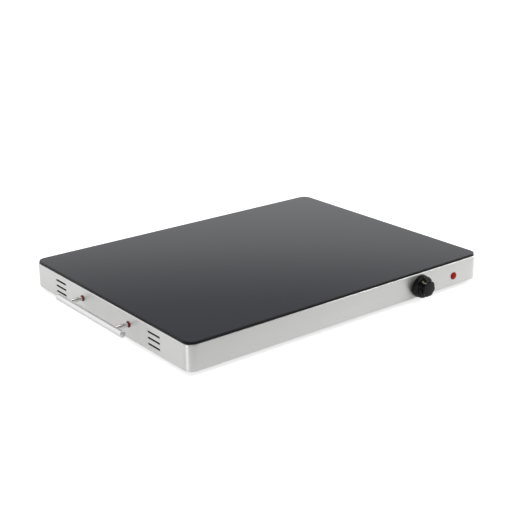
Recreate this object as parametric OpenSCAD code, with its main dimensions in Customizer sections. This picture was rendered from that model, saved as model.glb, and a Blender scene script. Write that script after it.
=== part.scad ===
// Electric food warming tray: a black glass plate on a brushed steel band, heated from
// below, with a bar handle at each end, a thermostat knob and a red lamp at the front.
// Millimetres, +Z up. X runs from handle to handle, the knob faces -Y, the feet stand
// on z = 0 and the origin is the middle of the whole outline.

/* [Tray] */
// Length of the steel band from end to end
tray_len = 600; // [540:10:700]
// Depth of the steel band from front to back
tray_dep = 450; // [420:10:520]
// Height of the steel band
band_h = 41; // [41:1:52]
// Outer radius of the upright corners
corner_r = 15; // [14:1:22]
// Thickness of the sheet steel
sheet_t = 1; // [0.8:0.1:1.3]
// Outer radius of the folds along the band's two edges
bend_r = 1.6; // [1.5:0.1:2.4]
// Width of the lip that carries the glass
lip_w = 10; // [9:1:12]
// Width of the flange that carries the bottom cover
flange_w = 12; // [10:1:13]

/* [Glass] */
// Thickness of the glass
glass_t = 4; // [3:0.5:6]
// Step in from the steel face to the glass edge
glass_inset = 1.2; // [1:0.1:2]
// Ground bevel along the glass's upper edge
glass_bevel = 0.8; // [0.4:0.1:1.2]
// Thickness of the silicone bead under the glass
seal_t = 0.3; // [0.2:0.1:0.8]
// Width of the silicone bead
seal_w = 6; // [4:1:7]

/* [Heater] */
// Step in from the steel face to the aluminium heat spreader
heater_inset = 18; // [17:1:26]
// Thickness of the heat spreader
plate_t = 1; // [0.6:0.1:2]
// Outside diameter of the insulated heating wire
heat_wire_d = 2.6; // [2:0.1:3]
// Spacing of the long runs of heating wire
heat_pitch = 25; // [20:1:34]
// Least free width between the heating wire and the spreader's edge
heat_margin = 16; // [12:1:30]
// Slack above and below the heating wire
heat_gap = 0.15; // [0.1:0.05:0.3]
// Thickness of the glass fibre mat under the heating wire
mat_t = 9; // [6:1:9]
// Width of the steel bars that press the mat up
bar_w = 16; // [12:1:24]
// Thickness of those bars
bar_t = 1.5; // [1:0.1:2]
// Distance of the outer bars from the tray's ends
bar_in = 110; // [100:5:140]

/* [Knob] */
// Distance of the knob's axis from the tray's right end
knob_in = 140; // [120:5:200]
// Height of the knob's axis above the band's lower edge
knob_z = 18.8; // [18:0.1:20]
// Radius of the knob's skirt at the panel
skirt_r = 19.2; // [18:0.1:22]
// Radius of the skirt at its front edge
skirt_front_r = 18.2; // [17:0.1:18.4]
// How far the skirt's front edge stands out from the panel
skirt_out = 10; // [8:0.5:11]
// Number of fine grooves round the skirt
skirt_grooves = 48; // [24:4:60]
// Radius of the collar at the grip's foot
collar_r = 15.5; // [14.5:0.1:16.5]
// Radius of the grip's waist
waist_r = 13; // [12.4:0.1:13.6]
// Radius of the grip at its tip
grip_r = 13.9; // [13.4:0.1:14.4]
// How far the knob's tip stands out from the panel
knob_reach = 20.5; // [19:0.5:26]
// Rise of the knob's domed tip
dome_rise = 1.1; // [0.6:0.1:1.4]
// Number of finger scallops round the grip
scallops = 7; // [5:1:9]
// Depth of a finger scallop
scallop_depth = 1.9; // [0.8:0.1:2]
// Free space between the panel and the knob
knob_gap = 0.8; // [0.5:0.1:1.5]
// Wall of the moulded knob
knob_wall = 2; // [1.6:0.1:2.4]

/* [Thermostat] */
// Radius of the thermostat's shaft
shaft_r = 3; // [2.8:0.1:3.2]
// Depth of the flat on the shaft
shaft_flat = 1; // [0.8:0.1:1.2]
// Running clearance of the shaft in its bush
run_gap = 0.05; // [0.03:0.01:0.08]
// Outer radius of the threaded bush
bush_r = 4.5; // [4.4:0.1:5]
// Largest radius of the cam
cam_r = 6.5; // [6:0.1:6.6]
// Rise of the cam over its sweep
cam_rise = 1.6; // [1:0.1:2]

/* [Lamp] */
// Distance of the lamp from the tray's right end
lamp_in = 61; // [55:1:85]
// Height of the lamp above the band's lower edge
lamp_z = 17.4; // [16:0.1:20]
// Radius of the lens's head
lens_r = 6.4; // [6.2:0.05:8]
// How far the lens stands out from the panel
lens_out = 1.8; // [1.2:0.1:3]
// Radius of the lens's barrel
barrel_r = 5.6; // [5:0.1:5.8]

/* [Handles] */
// Length of a handle bar
bar_len = 192; // [170:1:220]
// Radius of a handle bar
grip_bar_r = 5.2; // [4.5:0.1:6]
// Distance of the bar's axis from the steel face
bar_out = 27; // [26:1:40]
// Height of the handles above the band's lower edge
handle_z = 23.7; // [20:0.1:25]
// Spacing of the two posts of a handle
post_pitch = 136; // [110:1:150]
// Radius of a post
post_r = 3.5; // [3:0.1:4]
// Radius of the red washer at a post's foot
washer_r = 5; // [4.8:0.1:7]
// Thickness of the red washer
washer_t = 1.6; // [1.2:0.1:3]
// Radius of the screw that holds a post
post_screw_r = 2; // [1.5:0.1:2]

/* [Vents] */
// Middle of a group of vents, measured from the middle of the end face
vent_y = 137; // [120:1:150]
// Length of a vent slot
vent_len = 32; // [20:1:40]
// Width of a vent slot
vent_w = 3.2; // [2:0.1:4]
// Spacing of the slots in a group
vent_pitch = 9.6; // [8:0.1:10]
// Height of the middle slot above the band's lower edge
vent_z = 20.7; // [19:0.1:22]
// Number of slots in a group
vent_count = 3; // [1:1:3]

/* [Inlet] */
// Height of the inlet above the band's lower edge
inlet_z = 14.5; // [14:0.1:16]
// Width of the inlet's flange
inlet_flange_w = 50; // [48:1:54]
// Thickness of the inlet's flange
inlet_flange_t = 3; // [2.5:0.1:4]
// Spacing of the inlet's two screws
inlet_screw_pitch = 40; // [38:1:42]
// Depth of the inlet's body behind the flange
inlet_body = 20; // [18:1:24]

/* [Bottom] */
// Height of the band's lower edge above the table
stand_h = 7; // [6:1:12]
// Thickness of the bottom cover
cover_t = 0.8; // [0.6:0.1:1]
// Step in from the steel face to the cover's edge
cover_inset = 3; // [2:0.5:4]
// Radius of a foot
foot_r = 11; // [9:0.5:14]
// Distance of a foot's axis from the steel faces
foot_inset = 48; // [40:1:70]
// Number of slots in each group of cooling slots in the cover
cool_slots = 7; // [4:1:8]
// Length of a cooling slot
cool_len = 60; // [40:5:70]
// Width of a cooling slot
cool_w = 4; // [3:0.5:5]
// Spacing of the cooling slots in a group
cool_pitch = 12; // [10:1:13]
// Spacing of the groups of cooling slots
cool_spacing = 150; // [130:5:160]

/* [Hidden] */
$fn = 48;
eps = 0.01;
fit = 0.05; // gap between a fixed screw, rivet or barrel and its hole
back_out = inlet_flange_t;
body_y = (knob_reach - back_out) / 2;
front_y = -tray_dep / 2;
back_y = tray_dep / 2;
end_x = tray_len / 2;
bar_pitch = end_x - bar_in;
knob_x = end_x - knob_in;
lamp_x = end_x - lamp_in;
glass_z = band_h + seal_t;
plate_z = glass_z - plate_t;
heat_z = plate_z - heat_gap - heat_wire_d / 2;
mat_z = heat_z - heat_wire_d / 2 - heat_gap - mat_t;
bar_z = mat_z - bar_t;
plate_len = tray_len - 2 * heater_inset;
plate_dep = tray_dep - 2 * heater_inset;
bar_end_y = back_y - bend_r - 0.5;
bar_leg_y = back_y - heater_inset + bar_t + 0.5;
bar_xs = [-bar_pitch, 0, bar_pitch];
bar_screw_y = back_y - (lip_w + sheet_t) / 2 - 0.5;
screw_r = 1.5;
screw_head_r = 2.9;
screw_head_h = 1.9;
ear_t = 1.2; // thermostat frame
frame_x0 = -13;
frame_len = 34;
frame_h = 15;
knob_hub_r = 5.6;
bush_out = 4; // the bush's tip from the panel's outer face
shaft_in = 7.5; // shaft's inner end behind the panel's inner face
shaft_out = skirt_out + 6; // shaft's outer end from the panel's outer face
clip_t = 0.5;
cam_y0 = 3;
cam_y1 = 7;
cam_gap = 0.4;
blade_t = 0.4;
blade_z = -cam_r - cam_gap - blade_t; // underside of the upper blade, from the axis
blade_drop = 3.2;
blade_y0 = 3;
blade_y1 = 11;
block_x0 = 9;
block_x1 = 19;
rivet_r = 1.2;
contact_x = -10;
contact_r = 2;
contact_t = 1;
bimetal_x0 = -12;
bimetal_z = cam_r + 0.5;
bimetal_t = 0.8;
tab_len = 8;
lens_in = 12;
lens_wall = 1.2;
lamp_base_h = 3;
lamp_clip_h = 2.5;
panel_gap = 0.1; // gap round what passes through the panel
pin_w = 4;
pin_t = 2;
pin_out = 15;
pin_side = 7;
pin_low = 2;
inlet_x = bar_pitch - pin_side; // the live pin lines up with the right-hand bar
live_x = inlet_x + pin_side;
neutral_x = inlet_x - pin_side;
socket_w = 24.6;
socket_h = 15.6;
inlet_w = 28;
inlet_h = 19.6;
inlet_flange_h = 23;
lead_r = 1.1;
lead_bend = 5;
lead_run = 20; // straight run of a lead before it turns
lead_lane = 22; // sideways distance of the fuse's lead from the fuse
lamp_lead_r = 0.7;
lamp_lead_bend = 2.5;
cover_len = tray_len - 2 * cover_inset;
cover_dep = tray_dep - 2 * cover_inset;
cover_screw_in = (flange_w + cover_inset + bend_r) / 2;
cover_screw_end = 100; // distance of the outer cover screws from the tray's ends
cover_screw_tip = 3; // length of a cover screw past the flange
foot_screw_tip = 5; // length of a foot screw past the cover
foot_h = stand_h - cover_t;
foot_xs = [-(end_x - foot_inset), end_x - foot_inset];
foot_ys = [-(back_y - foot_inset), back_y - foot_inset];
foot_screw_r = 2;
foot_web = 1.8; // thickness of a foot under its screw's head
foot_head_h = 2.4;
earth_head_h = 2.2;
m4_across = 7; // nuts: width across the flats, and height
m4_high = 3.2;
m3_across = 5.5;
m3_high = 2.4;

// ---- placing ----

// The tray's own frame: middle of the band, z = 0 at its lower edge
module in_tray() {
    translate([0, body_y, stand_h]) children();
}

// A frame on the front panel's outer face: z points out of the panel, y points up
module on_front(x, z) {
    translate([x, front_y, z]) rotate([90, 0, 0]) children();
}

// A frame on the back panel's outer face: z points out of the panel, y points up
module on_back(x, z) {
    translate([x, back_y, z]) rotate([90, 0, 180]) children();
}

// A frame on an end face: side 1 is right, -1 is left; z points out, y points up
module on_end(side, y, z) {
    translate([side * end_x, y, z]) rotate([90, 0, side * 90]) children();
}

// The thermostat's frame: on the shaft's axis at the panel's inner face, +Y goes inwards
module at_thermostat() {
    translate([knob_x, front_y + sheet_t, knob_z]) children();
}

// ---- shapes that repeat ----

// Sweeps a flat profile round a rounded rectangle. The profile's x is the distance in
// from the outer face and its y is the height.
module round_the_tray(len, dep, r) {
    for (a = [0, 180]) {
        rotate([0, 0, a]) side_run(len - 2 * r, dep / 2) children();
        rotate([0, 0, a + 90]) side_run(dep - 2 * r, len / 2) children();
    }
    for (sx = [0, 1], sy = [0, 1]) {
        mirror([sx, 0, 0])
            mirror([0, sy, 0])
                translate([len / 2 - r, dep / 2 - r, 0])
                    rotate_extrude(angle = 90) translate([r, 0]) mirror([1, 0]) children();
    }
}

module side_run(run, dist) {
    translate([-run / 2, -dist, 0]) rotate([90, 0, 90]) linear_extrude(run) children();
}

// A plate with true round corners
module round_plate(len, dep, r, t) {
    translate([-len / 2 + r, -dep / 2, 0]) cube([len - 2 * r, dep, t]);
    translate([-len / 2, -dep / 2 + r, 0]) cube([len, dep - 2 * r, t]);
    for (sx = [-1, 1], sy = [-1, 1]) {
        translate([sx * (len / 2 - r), sy * (dep / 2 - r), 0]) cylinder(r = r, h = t);
    }
}

// A slot with round ends, lying along x, cut through z from 0 to h
module slot(len, w, h) {
    translate([-(len - w) / 2, -w / 2, 0]) cube([len - w, w, h]);
    for (s = [-1, 1]) {
        translate([s * (len - w) / 2, 0, 0]) cylinder(r = w / 2, h = h);
    }
}

// A pan head screw: the head stands on z = 0 and the shank goes down
module pan_screw(r, len, head_r, head_h) {
    translate([0, 0, -len]) cylinder(r = r, h = len + eps);
    difference() {
        union() {
            cylinder(r = head_r, h = head_h * 0.55);
            translate([0, 0, head_h * 0.55])
                cylinder(r1 = head_r, r2 = head_r * 0.72, h = head_h * 0.45);
        }
        for (a = [0, 90]) {
            translate([0, 0, head_h * 0.5]) rotate([0, 0, a])
                translate([-head_r * 0.5, -head_r * 0.12, 0])
                    cube([head_r, head_r * 0.24, head_h]);
        }
    }
}

// A hexagon nut standing on z = 0
module hex_nut(across, t, bore_r) {
    difference() {
        cylinder(r = across / sqrt(3), h = t, $fn = 6);
        translate([0, 0, -1]) cylinder(r = bore_r, h = t + 2);
    }
}

function unit(v) = v / norm(v);

// One square bend of a lead: arrives at corner p along u and leaves it along v
module lead_corner(p, u, v, r, bend) {
    c = p - bend * u + bend * v;
    w = cross(u, v);
    multmatrix([
        [-v[0], u[0], w[0], c[0]],
        [-v[1], u[1], w[1], c[1]],
        [-v[2], u[2], w[2], c[2]],
        [0, 0, 0, 1],
    ])
        rotate_extrude(angle = 90) translate([bend, 0]) circle(r = r, $fn = 24);
}

// A round bar from a to b
module rod(a, b, r) {
    d = b - a;
    len = norm(d);
    tilt = acos(d[2] / len);
    turn = atan2(d[1], d[0]);
    translate(a) rotate([0, tilt, turn]) cylinder(r = r, h = len, $fn = 24);
}

// A lead that runs square through the points p, with a true bend at each corner
module lead(p, r, bend) {
    last = len(p) - 1;
    for (i = [0 : last - 1]) {
        u = unit(p[i + 1] - p[i]);
        a = i == 0 ? p[0] : p[i] + bend * u;
        b = i == last - 1 ? p[last] : p[i + 1] - bend * u;
        rod(a, b, r);
        if (i < last - 1) {
            lead_corner(p[i + 1], u, unit(p[i + 2] - p[i + 1]), r, bend);
        }
    }
}

// ---- the steel band ----

// Section of the band: a wall with a lip folded in at the top and a flange at the foot
module band_profile() {
    translate([0, bend_r]) square([sheet_t, band_h - 2 * bend_r]);
    translate([bend_r, band_h - sheet_t]) square([lip_w - bend_r, sheet_t]);
    translate([bend_r, 0]) square([flange_w - bend_r, sheet_t]);
    for (top = [0, 1]) {
        translate([bend_r, top == 1 ? band_h - bend_r : bend_r])
            mirror([0, top == 1 ? 0 : 1])
                intersection() {
                    difference() {
                        circle(r = bend_r);
                        circle(r = bend_r - sheet_t);
                    }
                    translate([-bend_r, 0]) square([bend_r, bend_r]);
                }
    }
}

module vent_group(side, y) {
    for (i = [0 : vent_count - 1]) {
        on_end(side, y, vent_z + (i - (vent_count - 1) / 2) * vent_pitch)
            translate([0, 0, -sheet_t - 1]) slot(vent_len, vent_w, sheet_t + 2);
    }
}

module cover_screw_places() {
    for (sy = [-1, 1]) {
        for (x = [-1, 0, 1]) {
            translate([x * (end_x - cover_screw_end), sy * (back_y - cover_screw_in), 0])
                children();
        }
    }
    for (sx = [-1, 1]) {
        translate([sx * (end_x - cover_screw_in), 0, 0]) children();
    }
}

module side_band() {
    color([0.76, 0.76, 0.75]) in_tray() difference() {
        round_the_tray(tray_len, tray_dep, corner_r) band_profile();
        on_front(knob_x, knob_z)
            translate([0, 0, -sheet_t - 1]) cylinder(r = bush_r + panel_gap, h = sheet_t + 2);
        on_front(lamp_x, lamp_z)
            translate([0, 0, -sheet_t - 1])
                cylinder(r = barrel_r + panel_gap, h = sheet_t + 2);
        for (side = [-1, 1]) {
            vent_group(side, vent_y);
            vent_group(side, -vent_y);
            for (y = [-1, 1]) {
                on_end(side, y * post_pitch / 2, handle_z)
                    translate([0, 0, -sheet_t - 1])
                        cylinder(r = post_screw_r + fit, h = sheet_t + 2);
            }
        }
        on_back(inlet_x, inlet_z) {
            translate([-inlet_w / 2 - panel_gap, -inlet_h / 2 - panel_gap, -sheet_t - 1])
                cube([inlet_w + 2 * panel_gap, inlet_h + 2 * panel_gap, sheet_t + 2]);
            for (s = [-1, 1]) {
                translate([s * inlet_screw_pitch / 2, 0, -sheet_t - 1])
                    cylinder(r = screw_r + fit, h = sheet_t + 2);
            }
        }
        cover_screw_places()
            translate([0, 0, -1]) cylinder(r = screw_r + fit, h = sheet_t + 2);
        for (x = bar_xs, sy = [-1, 1]) {
            translate([x, sy * bar_screw_y, band_h - sheet_t - 1])
                cylinder(r = screw_r + fit, h = sheet_t + 2);
        }
    }
}

// ---- glass and heater ----

module glass_profile() {
    polygon([
        [0, 0],
        [corner_r, 0],
        [corner_r, glass_t],
        [glass_bevel, glass_t],
        [0, glass_t - glass_bevel],
    ]);
}

module glass_top() {
    r = corner_r;
    len = tray_len - 2 * glass_inset;
    dep = tray_dep - 2 * glass_inset;
    color([0.06, 0.06, 0.07]) in_tray() translate([0, 0, glass_z]) {
        round_the_tray(len, dep, r) glass_profile();
        translate([-len / 2 + r, -dep / 2 + r, 0])
            cube([len - 2 * r, dep - 2 * r, glass_t]);
    }
}

module glass_seal() {
    step = lip_w - seal_w;
    color([0.12, 0.12, 0.12]) in_tray()
        round_the_tray(tray_len, tray_dep, corner_r)
            translate([step, band_h]) square([seal_w, seal_t]);
}

module heat_spreader() {
    color([0.82, 0.83, 0.84]) in_tray()
        translate([0, 0, plate_z]) round_plate(plate_len, plate_dep, 4, plate_t);
}

// The heating wire lies in long runs joined by half turns, and both ends come out at
// the right, where they turn down through the mat to their leads.
heat_runs = 2 * floor(((plate_dep - 2 * heat_margin) / heat_pitch + 1) / 2);
heat_span = (heat_runs - 1) * heat_pitch;
heat_turn_x = plate_len / 2 - heat_margin - heat_pitch / 2;
heat_left_x = -heat_turn_x;
heat_end_x = heat_turn_x;
function run_y(i) = -heat_span / 2 + i * heat_pitch;
heat_drop = heat_z - (bar_z - 6);

module heat_tail(y) {
    translate([heat_end_x, y, heat_z - lead_bend])
        rotate([90, 0, 0]) rotate_extrude(angle = 90)
            translate([lead_bend, 0]) circle(r = heat_wire_d / 2, $fn = 24);
    translate([heat_end_x + lead_bend, y, heat_z - heat_drop])
        cylinder(r = heat_wire_d / 2, h = heat_drop - lead_bend, $fn = 24);
}

module heating_wire() {
    color([0.85, 0.45, 0.2]) in_tray() {
        for (i = [0 : heat_runs - 1]) {
            rod([heat_left_x, run_y(i), heat_z], [heat_end_x, run_y(i), heat_z],
                heat_wire_d / 2);
        }
        for (i = [0 : heat_runs - 2]) {
            right = i % 2 == 1;
            translate([right ? heat_end_x : heat_left_x, run_y(i) + heat_pitch / 2, heat_z])
                rotate([0, 0, right ? -90 : 90])
                    rotate_extrude(angle = 180)
                        translate([heat_pitch / 2, 0]) circle(r = heat_wire_d / 2, $fn = 24);
        }
        heat_tail(run_y(0));
        heat_tail(run_y(heat_runs - 1));
    }
}

module insulation_mat() {
    color([0.93, 0.92, 0.88]) in_tray() difference() {
        translate([0, 0, mat_z]) round_plate(plate_len, plate_dep, 4, mat_t);
        for (y = [run_y(0), run_y(heat_runs - 1)]) {
            translate([heat_end_x + lead_bend, y, mat_z - 1])
                cylinder(r = heat_wire_d / 2 + 0.3, h = mat_t + 2);
            translate([heat_end_x, y - heat_wire_d / 2 - 0.3, heat_z - lead_bend])
                cube([lead_bend, heat_wire_d + 0.6, lead_bend]);
        }
    }
}

// Three bars run from front to back under the mat; each end is folded up and out
// again, and a screw holds it to the underside of the lip.
module press_bar() {
    half = [
        [0, 0],
        [bar_leg_y, 0],
        [bar_leg_y, band_h - sheet_t - bar_z - bar_t],
        [bar_end_y, band_h - sheet_t - bar_z - bar_t],
        [bar_end_y, band_h - sheet_t - bar_z],
        [bar_leg_y - bar_t, band_h - sheet_t - bar_z],
        [bar_leg_y - bar_t, bar_t],
        [0, bar_t],
    ];
    difference() {
        for (m = [0, 1]) {
            mirror([0, m, 0])
                translate([-bar_w / 2, 0, bar_z])
                    rotate([90, 0, 90]) linear_extrude(bar_w) polygon(half);
        }
        for (sy = [-1, 1]) {
            translate([0, sy * bar_screw_y, band_h - sheet_t - bar_t - 1])
                cylinder(r = screw_r + fit, h = bar_t + 2);
        }
    }
}

module press_bars() {
    color([0.6, 0.61, 0.62]) in_tray() for (x = bar_xs) {
        translate([x, 0, 0]) press_bar();
    }
}

module press_bar_screws() {
    color([0.55, 0.55, 0.56]) in_tray() for (x = bar_xs, sy = [-1, 1]) {
        translate([x, sy * bar_screw_y, band_h - sheet_t - bar_t])
            mirror([0, 0, 1]) pan_screw(screw_r, bar_t + sheet_t, screw_head_r, screw_head_h);
    }
}

// ---- bottom ----

module cool_group(x) {
    for (i = [0 : cool_slots - 1]) {
        translate([x + (i - (cool_slots - 1) / 2) * cool_pitch, 0, -cover_t - 1])
            rotate([0, 0, 90]) slot(cool_len, cool_w, cover_t + 2);
    }
}

module bottom_cover() {
    color([0.08, 0.08, 0.08]) in_tray() difference() {
        translate([0, 0, -cover_t])
            round_plate(cover_len, cover_dep, corner_r - cover_inset, cover_t);
        for (x = [-cool_spacing, 0, cool_spacing]) {
            cool_group(x);
        }
        cover_screw_places()
            translate([0, 0, -cover_t - 1]) cylinder(r = screw_r + fit, h = cover_t + 2);
        for (x = foot_xs, y = foot_ys) {
            translate([x, y, -cover_t - 1]) cylinder(r = foot_screw_r + fit, h = cover_t + 2);
        }
        translate([earth_x, earth_y, -cover_t - 1])
            cylinder(r = foot_screw_r + fit, h = cover_t + 2);
    }
}

module cover_screws() {
    color([0.5, 0.5, 0.51]) in_tray() cover_screw_places()
        translate([0, 0, -cover_t]) mirror([0, 0, 1])
            pan_screw(screw_r, cover_t + sheet_t + cover_screw_tip,
                screw_head_r, screw_head_h);
}

// A foot: a turned rubber disc with a pocket that hides its screw's head
module feet() {
    pocket_r = foot_screw_r * 2 + 0.4;
    color([0.09, 0.09, 0.09]) in_tray() for (x = foot_xs, y = foot_ys) {
        translate([x, y, -stand_h]) rotate_extrude() polygon([
            [pocket_r, 0],
            [foot_r - 1.6, 0],
            [foot_r - 1, 0.6],
            [foot_r, foot_h],
            [foot_screw_r + fit, foot_h],
            [foot_screw_r + fit, foot_h - foot_web],
            [pocket_r, foot_h - foot_web],
        ]);
    }
}

module foot_screws() {
    color([0.5, 0.5, 0.51]) in_tray() for (x = foot_xs, y = foot_ys) {
        translate([x, y, -cover_t - foot_web]) mirror([0, 0, 1])
            pan_screw(foot_screw_r, cover_t + foot_web + foot_screw_tip,
                foot_screw_r * 2, foot_head_h);
    }
}

module foot_nuts() {
    color([0.55, 0.55, 0.56]) in_tray() for (x = foot_xs, y = foot_ys) {
        translate([x, y, 0]) hex_nut(m4_across, m4_high, foot_screw_r + fit);
    }
}

// ---- handles ----

// The bar of a handle: a solid round rod with chamfered ends and a blind hole for the
// spigot of each post
spigot_r = 2;
spigot_len = 4;
post_bore = 8; // depth of the screw's hole in a post
inner_washer_t = 1;

module handle_bar(side) {
    edge = 0.5;
    color([0.86, 0.86, 0.86]) in_tray() difference() {
        translate([side * (end_x + bar_out), 0, handle_z]) rotate([90, 0, 0])
            rotate_extrude() polygon([
                [0, -bar_len / 2],
                [grip_bar_r - edge, -bar_len / 2],
                [grip_bar_r, -bar_len / 2 + edge],
                [grip_bar_r, bar_len / 2 - edge],
                [grip_bar_r - edge, bar_len / 2],
                [0, bar_len / 2],
            ]);
        for (y = [-1, 1]) {
            on_end(side, y * post_pitch / 2, handle_z)
                translate([0, 0, bar_out - grip_bar_r - 1])
                    cylinder(r = spigot_r + fit, h = spigot_len + 1);
        }
    }
}

module handle_bar_left() {
    handle_bar(-1);
}

module handle_bar_right() {
    handle_bar(1);
}

module each_post() {
    for (side = [-1, 1], y = [-1, 1]) {
        on_end(side, y * post_pitch / 2, handle_z) children();
    }
}

// A post is notched to sit on the round bar, enters it with a spigot and is drilled
// from its foot for the screw
module handle_posts() {
    tip = bar_out - grip_bar_r;
    color([0.8, 0.8, 0.81]) in_tray() each_post() {
        difference() {
            translate([0, 0, washer_t]) cylinder(r = post_r, h = bar_out - washer_t);
            translate([0, 0, bar_out]) rotate([0, 90, 0])
                translate([0, 0, -post_r - 1]) cylinder(r = grip_bar_r, h = 2 * post_r + 2);
            translate([0, 0, washer_t - 1])
                cylinder(r = post_screw_r + fit, h = post_bore + 1);
        }
        translate([0, 0, tip - 1]) cylinder(r = spigot_r, h = spigot_len);
    }
}

module red_washers() {
    color([0.62, 0.06, 0.07]) in_tray() each_post() difference() {
        union() {
            cylinder(r = washer_r, h = washer_t * 0.6);
            translate([0, 0, washer_t * 0.6])
                cylinder(r1 = washer_r, r2 = washer_r - washer_t * 0.4, h = washer_t * 0.4);
        }
        translate([0, 0, -1]) cylinder(r = post_screw_r + fit, h = washer_t + 2);
    }
}

module handle_inner_washers() {
    color([0.62, 0.63, 0.64]) in_tray() each_post() difference() {
        translate([0, 0, -sheet_t - inner_washer_t])
            cylinder(r = post_screw_r * 2.3, h = inner_washer_t);
        translate([0, 0, -sheet_t - inner_washer_t - 1])
            cylinder(r = post_screw_r + fit, h = inner_washer_t + 2);
    }
}

module handle_screws() {
    color([0.55, 0.55, 0.56]) in_tray() each_post()
        translate([0, 0, -sheet_t - inner_washer_t]) mirror([0, 0, 1])
            pan_screw(post_screw_r, sheet_t + inner_washer_t + washer_t + post_bore - 2,
                post_screw_r * 1.9, foot_head_h);
}

// ---- knob and thermostat ----

// The outside of the knob, turned: a tapered skirt, a collar and a waisted grip with a
// shallow dome at its tip
module knob_outside() {
    edge = 0.9;
    foot = skirt_out + 2;
    waist = foot + 1.8;
    rim_r = grip_r - edge;
    rim_z = knob_reach - dome_rise;
    dome_r = (rim_r * rim_r + dome_rise * dome_rise) / (2 * dome_rise);
    rotate_extrude() intersection() {
        polygon([
            [0, knob_gap],
            [skirt_r, knob_gap],
            [skirt_front_r, skirt_out - edge],
            [skirt_front_r - edge, skirt_out],
            [collar_r, skirt_out],
            [collar_r, foot],
            [collar_r - 0.8, foot + 0.8],
            [waist_r, waist - 0.4],
            [waist_r, waist + 1],
            [grip_r, rim_z - edge],
            [rim_r, rim_z],
            [rim_r, knob_reach],
            [0, knob_reach],
        ]);
        translate([0, knob_reach - dome_r]) circle(r = dome_r, $fn = 180);
    }
}

module knob() {
    scallop_r = 7;
    scallop_turn = 13.3; // so that the lobes stand as they do with the knob at rest
    bore_tip = shaft_out + 1.2;
    color([0.05, 0.05, 0.05]) in_tray() on_front(knob_x, knob_z) {
        difference() {
            knob_outside();
            for (i = [0 : skirt_grooves - 1]) {
                rotate([0, 0, i * 360 / skirt_grooves])
                    translate([skirt_r + 0.1, 0, knob_gap - 1])
                        cylinder(r = 0.5, h = skirt_out - knob_gap + 2, $fn = 16);
            }
            for (i = [0 : scallops - 1]) {
                rotate([0, 0, scallop_turn + i * 360 / scallops])
                    translate([grip_r - scallop_depth + scallop_r, 0, skirt_out + 3])
                        cylinder(r = scallop_r, h = knob_reach);
            }
            difference() {
                translate([0, 0, knob_gap - 1])
                    cylinder(r = skirt_front_r - knob_wall,
                        h = skirt_out - knob_wall - knob_gap + 1);
                translate([0, 0, -1]) cylinder(r = knob_hub_r, h = skirt_out + 2);
            }
            translate([0, 0, -1])
                cylinder(r = bush_r + 2.9, h = 1 + bush_out + knob_gap);
            intersection() {
                translate([0, 0, -1]) cylinder(r = shaft_r + 0.02, h = bore_tip);
                translate([-10, -10, -1])
                    cube([20, 10 + shaft_r - shaft_flat + clip_t, bore_tip]);
            }
        }
    }
}

module knob_clip() {
    color([0.7, 0.71, 0.72]) in_tray() on_front(knob_x, knob_z)
        translate([-1.6, shaft_r - shaft_flat, shaft_out - 9]) cube([3.2, clip_t, 9]);
}

// The shaft, with its snail cam: the cam's radius falls step by step over its sweep
module thermostat_shaft() {
    steps = 9;
    color([0.72, 0.72, 0.7]) in_tray() on_front(knob_x, knob_z) {
        difference() {
            translate([0, 0, -sheet_t - shaft_in])
                cylinder(r = shaft_r, h = sheet_t + shaft_in + shaft_out);
            translate([-10, shaft_r - shaft_flat, bush_out + knob_gap / 2])
                cube([20, 10, shaft_out]);
        }
        translate([0, 0, -sheet_t - cam_y1]) linear_extrude(cam_y1 - cam_y0)
            polygon([
                for (i = [0 : 47])
                    (cam_r - cam_rise * i / 47) * [cos(90 + i * 7.5), sin(90 + i * 7.5)],
            ]);
    }
}

// The frame behind the panel, with the threaded bush that goes through it
module thermostat_frame() {
    out = sheet_t + bush_out;
    color([0.7, 0.7, 0.68]) in_tray() at_thermostat() difference() {
        union() {
            translate([frame_x0, 0, -frame_h / 2]) cube([frame_len, ear_t, frame_h]);
            rotate([90, 0, 0]) cylinder(r = bush_r, h = out);
        }
        translate([0, ear_t + 1, 0]) rotate([90, 0, 0])
            cylinder(r = shaft_r + run_gap, h = out + ear_t + 2);
    }
}

module bush_nut() {
    color([0.7, 0.7, 0.68]) in_tray() on_front(knob_x, knob_z)
        hex_nut(bush_r * 2 + 3, 2.5, bush_r + fit);
}

// The ceramic block that clamps the blades and the bimetal strip
module thermostat_block() {
    low = blade_z - blade_drop - 1.6;
    color([0.9, 0.88, 0.82]) in_tray() at_thermostat() difference() {
        translate([block_x0, ear_t, low])
            cube([block_x1 - block_x0, blade_y1 + 1 - ear_t, bimetal_z - low]);
        for (z = [blade_z, blade_z - blade_drop]) {
            translate([block_x0 - 1, blade_y0, z])
                cube([block_x1 - block_x0 + 2, blade_y1 - blade_y0, blade_t]);
        }
        translate([(block_x0 + block_x1) / 2, (blade_y0 + blade_y1) / 2, low - 1])
            cylinder(r = rivet_r + fit, h = 40);
    }
}

module block_rivet() {
    low = blade_z - blade_drop - 1.6;
    color([0.72, 0.66, 0.42]) in_tray() at_thermostat()
        translate([(block_x0 + block_x1) / 2, (blade_y0 + blade_y1) / 2, 0]) {
            translate([0, 0, low - 0.8]) cylinder(r = 2.2, h = 0.8);
            translate([0, 0, low - eps])
                cylinder(r = rivet_r, h = bimetal_z + bimetal_t - low + 0.3);
        }
}

module contact_blades() {
    color([0.78, 0.6, 0.32]) in_tray() at_thermostat() difference() {
        for (z = [blade_z, blade_z - blade_drop]) {
            translate([frame_x0, blade_y0, z])
                cube([block_x1 - frame_x0 + tab_len, blade_y1 - blade_y0, blade_t]);
        }
        translate([(block_x0 + block_x1) / 2, (blade_y0 + blade_y1) / 2, -30])
            cylinder(r = rivet_r + fit, h = 60);
    }
}

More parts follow.
